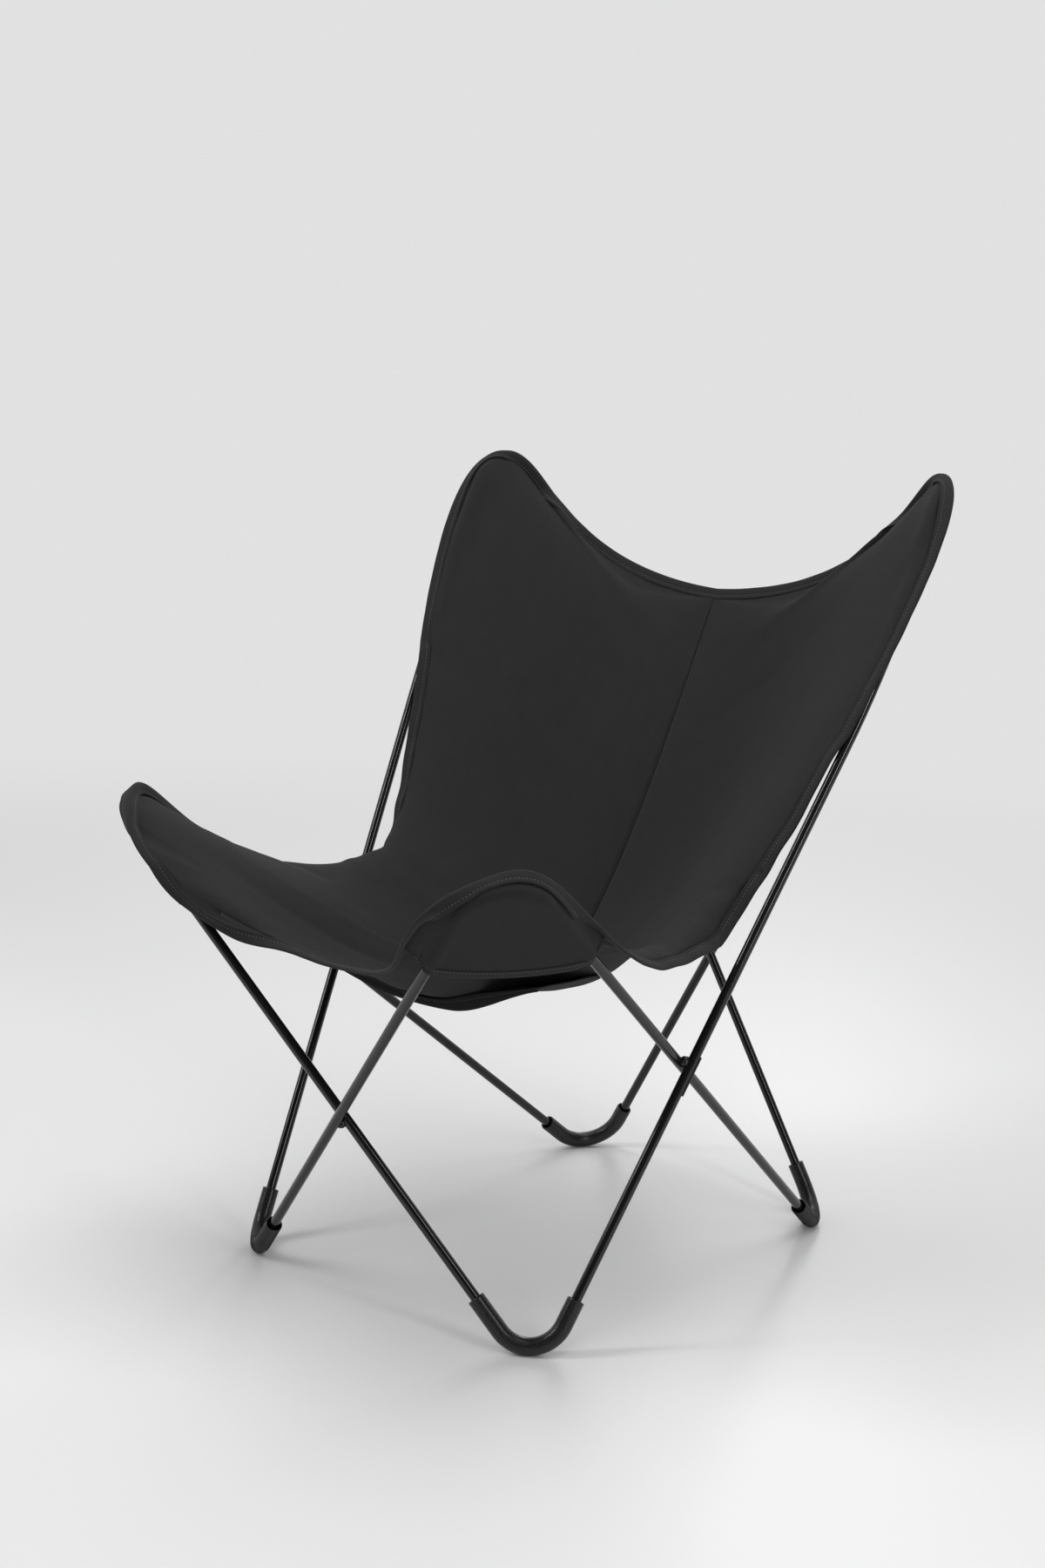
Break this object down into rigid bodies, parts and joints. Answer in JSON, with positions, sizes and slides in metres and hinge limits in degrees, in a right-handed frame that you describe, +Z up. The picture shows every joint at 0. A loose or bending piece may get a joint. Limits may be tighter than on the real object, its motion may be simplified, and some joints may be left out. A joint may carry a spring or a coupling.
{
  "type": "butterfly sling chair",
  "caption": "Butterfly sling lounge chair: bent steel rod frame with four sleeved feet, and a canvas sling hung by sewn corner pockets from its four horns.",
  "frame": {"origin": "on the floor, under the middle of the chair's bounding box", "axes": "+Z up from the floor, -Y the way the sitter faces, +X to the right as the chair is seen from the front"},
  "size_m": [0.7746, 0.8544, 0.9898],
  "materials": {
    "rod": "glossy black paint",
    "sleeve": "ribbed black plastic, half gloss",
    "canvas": "matte charcoal canvas",
    "tape": "matte black woven tape with one row of stitches"
  },
  "bodies": {
    "root": {"frame_loop_front_left_foot": "rod", "frame_loop_front_right_foot": "rod", "sleeve_front_right": "sleeve", "sleeve_front_left": "sleeve", "sleeve_rear_left": "sleeve", "sleeve_rear_right": "sleeve", "weld_front": "rod", "weld_rear": "rod", "weld_right": "rod", "weld_left": "rod", "edge_binding": "tape", "sling_panel_right": "canvas", "sling_panel_left": "canvas", "pocket_front_right": "canvas", "pocket_hem_front_right": "tape", "pocket_front_left": "canvas", "pocket_hem_front_left": "tape", "pocket_rear_right": "canvas", "pocket_hem_rear_right": "tape", "pocket_rear_left": "canvas", "pocket_hem_rear_left": "tape", "underseat_panel": "canvas", "underseat_hem": "tape"}
  },
  "joints": []
}
